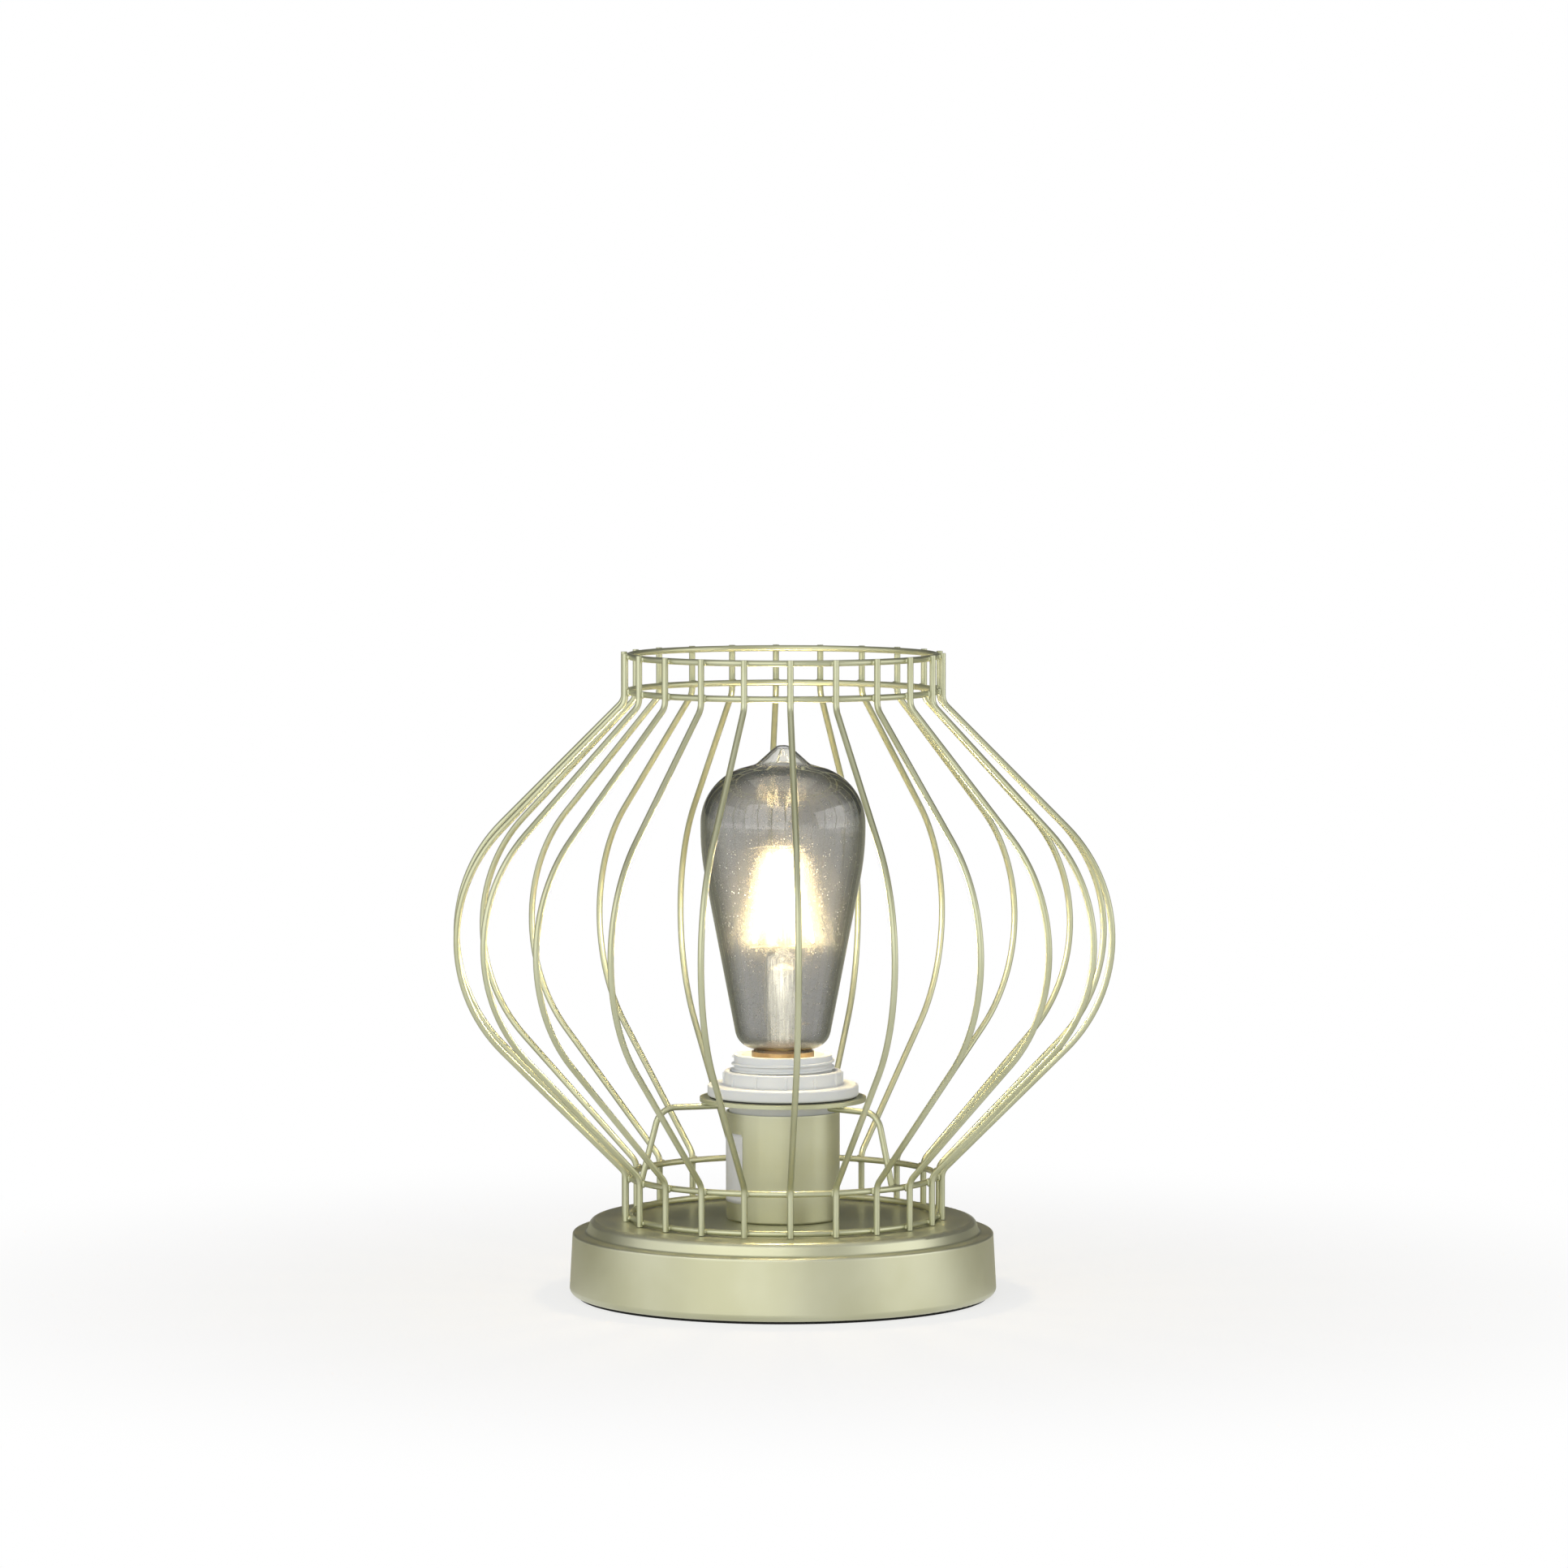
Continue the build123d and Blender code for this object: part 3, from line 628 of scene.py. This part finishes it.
def compound(name, look):
    # grain, mottle and dust
    f = Finish(name)
    at = f.place()
    grain = f.noise(at, look["grainScale"], 3.0, 0.6)
    mottle = f.ramp(f.noise(at, grained["mottleScale"], 3.0), *grained["mottleSpan"])
    dust = f.ramp(f.noise(at, grained["dustScale"], 3.0, 0.7), *grained["dustSpan"])
    share = grained["dustShare"]
    pale = f.clamped(mottle * (1 - share) + dust * share)
    return f.close(f.principled({
        "Base Color": f.mix(pale, look["deep"], look["light"]),
        "Roughness": look["roughness"] + (grain - 0.5) * grained["grainRough"],
        "Normal": f.bump(grain, look["grainDepth"]),
    }))


for name, look in compounds.items():
    dress(compound(name, look), look["on"])
print("compounds done")


# foot pad

footPad = {
    "light": (0.020, 0.020, 0.019, 1),
    "deep": (0.008, 0.008, 0.008, 1),
    "mottleScale": 120.0,
    "mottleSpan": (0.3, 0.7),
    "mottleRough": 0.15,
    "roughness": 0.86,
    "specular": 0.25,
    "cellScale": 1500.0,
    "cellDepth": 0.00025,
}


def padFoam():
    # closed cell foam, cut through its cells
    f = Finish("padFoam")
    at = f.place()
    mottle = f.noise(at, footPad["mottleScale"], 3.0)
    return f.close(f.principled({
        "Base Color": f.mix(f.ramp(mottle, *footPad["mottleSpan"]), footPad["deep"], footPad["light"]),
        "Roughness": footPad["roughness"] + (mottle - 0.5) * footPad["mottleRough"],
        "Specular IOR Level": footPad["specular"],
        "Normal": f.bump(f.cells(at, footPad["cellScale"]), footPad["cellDepth"]),
    }))


dress(padFoam(), "foot_pad")
print("foot pad done")


# glass of the bulb

glass = {
    "smoke": (0.435, 0.435, 0.427, 1),  # what one wall lets through
    "film": (0.69, 0.685, 0.65, 1),  # the same smoke, for one face of the wall
    "edgeSmoke": (0.05, 0.06, 0.05, 1),
    "edge": (0.24, 0.72),  # where the wall turns away from the eye and looks thick
    "edgeDepth": 0.90,
    "bend": 1.75,
    "filmBend": 1.5,
    "drawn": (0.93, 0.93, 0.90, 1),
    "tip": (0.0090, 0.0062),  # how far below its top the drawn tip begins
    "tipShare": 0.75,
    "tipPatchy": 0.3,
    "haze": 0.21,
    "hazeLeast": 0.5,
    "hazeRough": 0.44,
    "hazeScale": 70.0,
    "hazeStretch": (1.0, 1.0, 0.25),
    "speckScale": 680.0,
    "speckSpan": (0.10, 0.22),
    "speckShare": 0.8,
    "speckRough": 0.72,
    "patchScale": 260.0,  # the specks lie in patches
    "patchSpan": (0.47, 0.58),
    "waveScale": 45.0,
    "waveStretch": (1.0, 1.0, 0.3),
    "waveDepth": 0.00008,
    "passed": (1, 1, 1, 1),
}


def lightThrough(f, body, tint):
    # the filament's light goes straight through the glass, and so does a mirrored look at it
    shadow, mirrored = f.add("LightPath", out=("Is Shadow Ray", "Is Reflection Ray"))
    passed = f.add("BsdfTransparent", None, {"Color": tint})
    return f.blend(f.clamped(shadow + mirrored), body, passed)


def glassWall(f, colour, waves=None):
    sockets = {"Base Color": colour, "Roughness": 0.0, "IOR": glass["bend"], "Transmission Weight": 1.0}
    if waves:
        sockets["Normal"] = f.bump(waves, glass["waveDepth"])
    return f.principled(sockets)


def glassFilm(f, roughness):
    sockets = {"Color": glass["film"], "Roughness": roughness, "IOR": glass["filmBend"]}
    return f.add("BsdfGlass", {"distribution": "BECKMANN"}, sockets)


def smokeGlass():
    # blown glass with a light smoke tint, a film of haze, and specks in it
    f = Finish("smokeGlass")
    at = f.place()
    patches = f.ramp(f.noise(at, glass["patchScale"], 2.0), *glass["patchSpan"])
    speck = (1 - f.ramp(f.cells(at, glass["speckScale"]), *glass["speckSpan"])) * patches
    film = f.noise(f.stretched(at, glass["hazeStretch"]), glass["hazeScale"], 3.0)
    waves = f.noise(f.stretched(at, glass["waveStretch"]), glass["waveScale"], 2.0)
    clear = glassWall(f, glass["smoke"], waves)
    away = f.add("LayerWeight", None, {"Blend": 0.5}, out="Facing")
    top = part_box("bulb_glass")[1][2]
    tip = f.ramp(f.height(at), top - glass["tip"][0], top - glass["tip"][1])
    haze = glass["haze"] * (glass["hazeLeast"] + film)
    body = f.blend(haze, clear, glassFilm(f, glass["hazeRough"]))
    body = f.blend(speck * glass["speckShare"], body, glassFilm(f, glass["speckRough"]))
    edge = f.ramp(away, *glass["edge"]) * glass["edgeDepth"]
    body = f.blend(edge, body, glassWall(f, glass["edgeSmoke"]))
    tip = tip * (glass["tipShare"] + film * glass["tipPatchy"])
    body = f.blend(tip, body, glassWall(f, glass["drawn"]))
    return f.close(lightThrough(f, body, glass["passed"]))


stem = {
    "clear": (0.95, 0.95, 0.93, 1),
    "roughness": 0.04,
    "bend": 1.55,
    # piped: the colours, strength, least share and heights of a painted glow, for filament light that runs
    # down the tube
    "piped": ((0.02, 0.02, 0.018, 1), (1.0, 0.95, 0.80, 1)),  # filament light that runs down the tube
    "pipedStrength": 1.6,
    "pipedLeast": 0.35,
    "pipedHeight": (0.100, 0.136),
    "streakScale": 1100.0,
    "streakStretch": (1.0, 1.0, 0.05),
    "streakSpan": (0.44, 0.66),
    "streakDepth": 0.0003,
    "seedScale": 900.0,
    "seedSpan": (0.62, 0.72),
    "seedShare": 0.3,
    "cement": ((0.24, 0.13, 0.05, 1), (0.36, 0.21, 0.09, 1)),
    "cementScale": 500.0,
    "cementRough": 0.45,
    "cementLines": 0.1,
    "cementTop": (0.0975, 0.0990),
    "cementShare": 0.85,
    "passed": (0.92, 0.92, 0.90, 1),
}


def stemGlass():
    # drawn glass tube with a painted glow in streaks, for the light it pipes down, and amber cement low in
    # the neck
    f = Finish("stemGlass")
    at = f.place()
    height = f.height(at)
    lines = f.noise(f.stretched(at, stem["streakStretch"]), stem["streakScale"], 3.0, 0.6)
    seeds = f.ramp(f.noise(at, stem["seedScale"], 2.0), *stem["seedSpan"])
    # painted glow: streaks and seeds, fading towards the bottom of the tube
    least = stem["pipedLeast"]
    fade = least + f.ramp(height, *stem["pipedHeight"]) * (1 - least)
    streak = f.clamped(f.ramp(lines, *stem["streakSpan"]) * fade + seeds * stem["seedShare"])
    clear = f.principled({
        "Base Color": stem["clear"],
        "Roughness": stem["roughness"],
        "IOR": stem["bend"],
        "Transmission Weight": 1.0,
        "Emission Color": f.mix(streak, *stem["piped"]),
        "Emission Strength": stem["pipedStrength"],
        "Normal": f.bump(lines, stem["streakDepth"]),
    })
    cement = f.principled({
        "Base Color": f.mix(f.noise(at, stem["cementScale"], 3.0), *stem["cement"]),
        "Roughness": stem["cementRough"] + lines * stem["cementLines"],
    })
    low = 1 - f.ramp(height, *stem["cementTop"])
    return f.close(lightThrough(f, f.blend(low * stem["cementShare"], clear, cement), stem["passed"]))


dress(smokeGlass(), "bulb_glass")
dress(stemGlass(), "bulb_stem")
print("glass done")


# filament sticks: phosphor gel over a strip, with a bare tab at each end

phosphor = {
    "gel": (0.85, 0.62, 0.22, 1),
    "glow": ((1.0, 0.77, 0.40, 1), (1.0, 0.84, 0.53, 1)),  # brighter between the unseen chips
    "strength": 160.0,
    "chipScale": 700.0,
    "chipSpan": (0.3, 0.7),
    "roughness": 0.5,
}

sticks = {
    "count": 8,
    "first": -87.4,
    "foot": (0.0126, 0.1365),
    "head": (0.0054, 0.1737),
    "gelHalf": (0.00100, 0.00070),
    "gelInset": 0.0013,
    "gelRows": 40,
    "gelSides": 14,
    "gelRound": 0.0007,
    "gelTip": 0.15,
    "ripple": 0.05,
    "rippleScale": 9,
    "rippleShift": 7.3,
    "rippleRow": 0.4,
    "tabHalf": (0.00042, 0.00012),
    "tabRun": ((-0.0001, 0.8), (0.0001, 1.0), (0.0010, 1.0), (0.0014, 0.7), (0.0030, 0.7)),
    "tabCorners": ((-1, -0.7), (-0.8, -1), (0.8, -1), (1, -0.7), (1, 0.7), (0.8, 1), (-0.8, 1), (-1, 0.7)),
}


def litPhosphor():
    f = Finish("litPhosphor")
    chips = f.noise(f.place(), phosphor["chipScale"], 2.0)
    return f.close(f.principled({
        "Base Color": phosphor["gel"],
        "Roughness": phosphor["roughness"],
        "Emission Color": f.mix(f.ramp(chips, *phosphor["chipSpan"]), *phosphor["glow"]),
        "Emission Strength": phosphor["strength"],
    }))


def stickFrame(index):
    degrees = sticks["first"] + 360 / sticks["count"] * (index + 0.5)
    foot = around(sticks["foot"][0], degrees, sticks["foot"][1])
    head = around(sticks["head"][0], degrees, sticks["head"][1])
    side = around(1, degrees + 90, 0)
    run = (head - foot).normalized()
    return foot, head, run, side, run.cross(side)


def skin(build, loops):
    # faces between rings of points, closed at both ends
    rows = [[build.verts.new(point) for point in loop] for loop in loops]
    count = len(rows[0])
    for lower, upper in zip(rows, rows[1:]):
        for step in range(count):
            follow = (step + 1) % count
            build.faces.new((lower[step], lower[follow], upper[follow], upper[step]))
    build.faces.new(rows[0][::-1])
    build.faces.new(rows[-1])


def gelSleeves(finish):
    build = bmesh.new()
    wide, thick = sticks["gelHalf"]
    turns = [2 * math.pi * corner / sticks["gelSides"] for corner in range(sticks["gelSides"])]
    for index in range(sticks["count"]):
        foot, head, run, side, out = stickFrame(index)
        length = (head - foot).length - 2 * sticks["gelInset"]
        start = foot + run * sticks["gelInset"]
        loops = []
        for row in range(sticks["gelRows"] + 1):
            share = row / sticks["gelRows"]
            fromEnd = min(share, 1 - share) * length
            blunt = min(1.0, max(sticks["gelTip"], fromEnd / sticks["gelRound"])) ** 0.5
            spot = Vector((index * sticks["rippleShift"], share * sticks["rippleScale"], sticks["rippleRow"]))
            swell = blunt * (1 + sticks["ripple"] * noise.noise(spot))
            middle = start + run * (share * length)
            loops.append([middle + (side * (math.cos(turn) * wide) + out * (math.sin(turn) * thick)) * swell
                          for turn in turns])
        skin(build, loops)
    gel = makePiece("filamentGel", build, finish, "bulb")
    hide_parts("led_filaments")


def stickTabs(finish):
    build = bmesh.new()
    wide, thick = sticks["tabHalf"]
    for index in range(sticks["count"]):
        foot, head, run, side, out = stickFrame(index)
        for end, inward in ((foot, run), (head, -run)):
            loops = []
            for reach, flare in sticks["tabRun"]:
                middle = end + inward * reach
                loops.append([middle + side * (x * wide * flare) + out * (y * thick)
                              for x, y in sticks["tabCorners"]])
            skin(build, loops)
    makePiece("filamentTabs", build, finish, "bulb")


litGel = litPhosphor()
dress(litGel, "led_filaments")
gelSleeves(litGel)
stickTabs(supportWire)
print("filament done")


# bare wires inside the bulb

leadWires = {
    "thick": 0.00028,
    "bevelSteps": 4,
    "curveSteps": 10,
    "stemLead": [
        (-0.0057, 0.0004, 0.1035), (-0.0066, 0.0004, 0.1062), (-0.0072, 0.0002, 0.1100),
        (-0.0070, -0.0003, 0.1220), (-0.0067, -0.0002, 0.1330), (-0.0046, 0.0, 0.1357),
        (-0.0018, 0.0, 0.1362),
    ],
    "stemStub": [
        (0.0057, 0.0006, 0.1048), (0.0069, 0.0007, 0.1056), (0.0088, 0.0008, 0.1060),
        (0.0106, 0.0008, 0.1059),
    ],
    "headWireLeft": [
        (-0.0014, -0.0006, 0.1748), (-0.0050, -0.0010, 0.1752), (-0.0100, -0.0014, 0.1746),
        (-0.0138, -0.0016, 0.1741),
    ],
    "headWireRight": [
        (0.0014, -0.0006, 0.1748), (0.0040, -0.0012, 0.1755), (0.0076, -0.0016, 0.1752),
    ],
}


def leadWire(name, finish):
    curve = bpy.data.curves.new(name, "CURVE")
    curve.dimensions = "3D"
    curve.bevel_depth = leadWires["thick"]
    curve.bevel_resolution = leadWires["bevelSteps"]
    curve.resolution_u = leadWires["curveSteps"]
    curve.use_fill_caps = True
    line = curve.splines.new("NURBS")
    line.points.add(len(leadWires[name]) - 1)
    for point, spot in zip(line.points, leadWires[name]):
        point.co = (*spot, 1)
    line.order_u = 3
    line.use_endpoint_u = True
    curve.materials.append(finish)
    wire = bpy.data.objects.new(name, curve)
    bpy.context.collection.objects.link(wire)
    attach(wire, "bulb")


for name in ("stemLead", "stemStub", "headWireLeft", "headWireRight"):
    leadWire(name, supportWire)
print("bulb done")


# studio

studio = {
    "floorHalf": 60.0,
    "floorTones": ((0.80, 0.80, 0.79, 1), (0.82, 0.82, 0.81, 1)),
    "floorGrain": 300.0,
    "floorWhite": 0.70,  # share of white by the lamp, all white further off
    "floorFade": (0.10, 0.45),
    "white": (1, 1, 1, 1),
    "fill": (0.42, 0.42, 0.42, 1),
    "front": (0.58, 0.58, 0.58, 1),
    "ceiling": (0.06, 0.06, 0.06, 1),
    "frontEnd": (-0.1, 0.5),
    "sweepTop": (0.044, 0.075),
    "flag": (0.38, 0.37, 0.29, 1),  # dim boards at the sides behind the lamp, for reflections
    "flagSides": (-0.2, 0.35),
    "flagGap": (0.975, 0.996),
}

softboxes = {
    "softboxKey": {"place": (-0.93, -2.10, 1.00), "size": (3.0, 2.2), "watts": 30},
    "softboxSide": {"place": (2.03, -0.54, 0.62), "size": (2.0, 1.2), "watts": 11},
    "softboxLeft": {"place": (-2.05, -0.40, 0.62), "size": (1.6, 1.2), "watts": 4.5},
    "softboxTop": {"place": (0, 0.2, 1.9), "size": (1.6, 1.4), "watts": 3},
}
lampMiddle = Vector((0, 0, 0.10))


def seen(f):
    # rays that show the background: camera, mirror and through glass
    rays = ("Is Camera Ray", "Is Glossy Ray", "Is Transmission Ray")
    camera, glossy, through = f.add("LightPath", out=rays)
    return f.clamped(camera + glossy + through)


def flagged(f, at):
    # 1 where a flag stands, for every ray but the camera's
    camera = f.add("LightPath", out="Is Camera Ray")
    behind = f.add("SeparateXYZ", None, {0: at}, out="Y") / f.radius(at)
    sides = f.ramp(behind, *studio["flagSides"]) * (1 - f.ramp(behind, *studio["flagGap"]))
    return (1 - camera) * sides


def studioFloor():
    # pale floor, matt near the lamp so that it keeps the shadow, and white further off
    f = Finish("studioFloor")
    at = f.place()
    tone = f.mix(f.noise(at, studio["floorGrain"], 2.0), *studio["floorTones"])
    matt = f.principled({"Base Color": tone, "Roughness": 1.0, "Specular IOR Level": 0.0})
    white = f.add("Emission", None, {"Color": studio["white"]})
    flag = f.add("Emission", None, {"Color": studio["flag"]})
    least = studio["floorWhite"]
    share = least + f.ramp(f.radius(at), *studio["floorFade"]) * (1 - least)
    finish = f.close(f.blend(seen(f) * share, matt, f.blend(flagged(f, at), white, flag)))
    mesh = bpy.data.meshes.new("studioFloor")
    half = studio["floorHalf"]
    corners = [(-half, -half, 0), (half, -half, 0), (half, half, 0), (-half, half, 0)]
    mesh.from_pydata(corners, [], [(0, 1, 2, 3)])
    mesh.materials.append(finish)
    floor = bpy.data.objects.new("studioFloor", mesh)
    bpy.context.collection.objects.link(floor)


def studioWorld():
    # white low down, where the sweep is; above it a room that is lit in front and dim behind
    f = Finish("studioWorld", world=True)
    toward = f.add("TexCoord", out="Generated")
    y, z = f.add("SeparateXYZ", None, {0: toward}, out=("Y", "Z"))
    names = ("white", "flag", "front", "ceiling", "fill")
    white, flag, front, ceiling, fill = [f.add("Background", None, {"Color": studio[name]}) for name in names]
    sweep = f.blend(flagged(f, toward), white, flag)
    upper = f.blend(f.ramp(y, *studio["frontEnd"]), front, ceiling)
    room = f.blend(f.ramp(z, *studio["sweepTop"]), sweep, upper)
    bpy.context.scene.world = f.close(f.blend(seen(f), fill, room))


def softbox(name, look):
    lamp = bpy.data.lights.new(name, "AREA")
    lamp.shape = "RECTANGLE"
    lamp.size, lamp.size_y = look["size"]
    lamp.energy = look["watts"]
    box = bpy.data.objects.new(name, lamp)
    box.location = look["place"]
    box.rotation_euler = (lampMiddle - Vector(look["place"])).to_track_quat("-Z", "Y").to_euler()
    bpy.context.collection.objects.link(box)


studioFloor()
studioWorld()
for name, look in softboxes.items():
    softbox(name, look)
print("studio done")


# camera at the photograph's angle, for a square frame

view = {
    "lens": 161.87,
    "sensor": 36.0,
    "place": (0.000394, -2.7209, 0.3861),
    "tilt": 86.067,
    "far": 100,
}
lens = bpy.data.cameras.new("photoCamera")
lens.lens = view["lens"]
lens.sensor_width = view["sensor"]
lens.sensor_fit = "HORIZONTAL"
lens.clip_end = view["far"]
camera = bpy.data.objects.new("photoCamera", lens)
camera.location = view["place"]
camera.rotation_euler = (math.radians(view["tilt"]), 0, 0)
bpy.context.collection.objects.link(camera)
bpy.context.scene.camera = camera
print("camera done")
